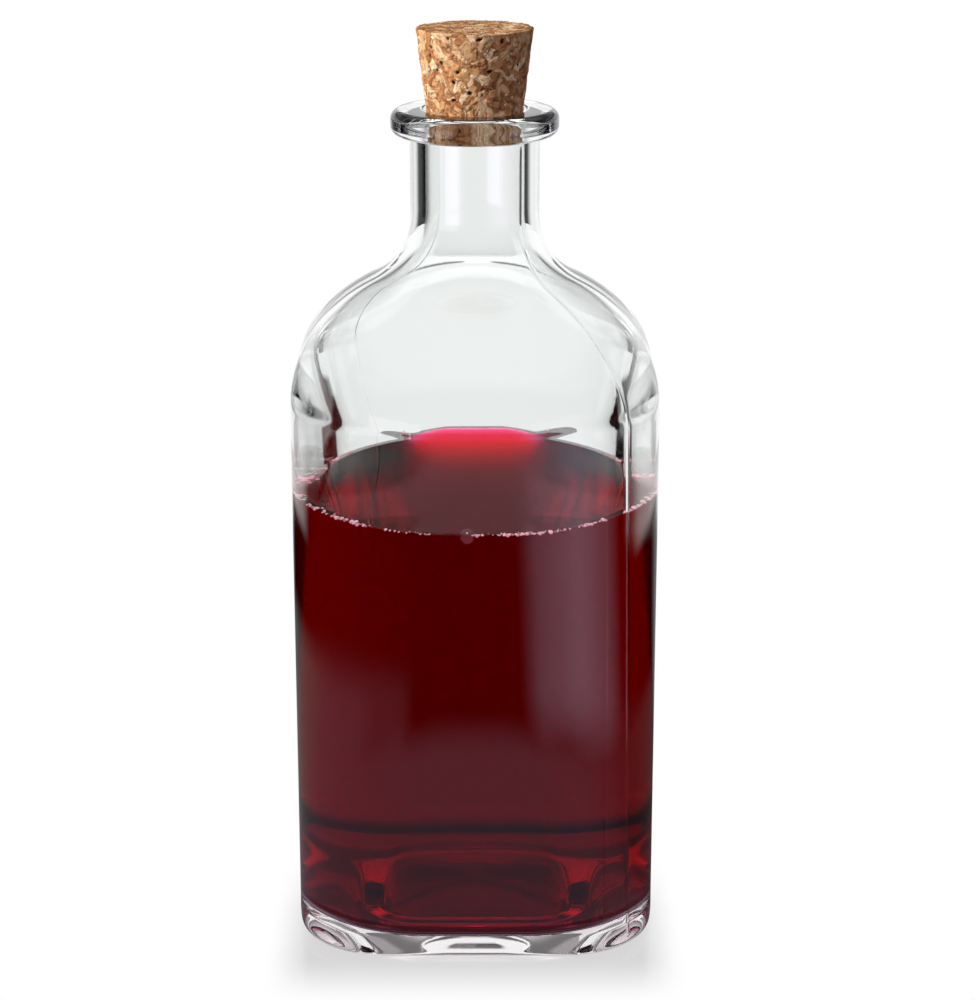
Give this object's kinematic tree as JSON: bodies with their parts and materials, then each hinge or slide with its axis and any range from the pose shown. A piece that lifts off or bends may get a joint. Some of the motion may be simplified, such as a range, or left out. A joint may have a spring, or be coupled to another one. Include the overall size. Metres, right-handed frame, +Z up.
{
  "type": "glass drink bottle",
  "caption": "Clear glass bottle with a square body, round neck and wide lip, part full of red drink and shut with a tapered cork.",
  "frame": {"origin": "centre of the bottle's bearing ring, on the surface that it stands on", "axes": "+Z up along the neck, +X to the right and -Y towards the viewer of the front face, each square to a face of the body"},
  "size_m": [0.0736, 0.0736, 0.1816],
  "materials": {
    "clear_glass": "clear flint glass, fire polished, smooth and glossy",
    "red_drink": "dark red drink, clear in thin layers, glossy level surface",
    "pressed_cork": "pressed cork granules, matt, with small dark pits"
  },
  "bodies": {
    "root": {"glass_bottle": "clear_glass", "red_drink": "red_drink", "cork_stopper": "pressed_cork"}
  },
  "joints": []
}
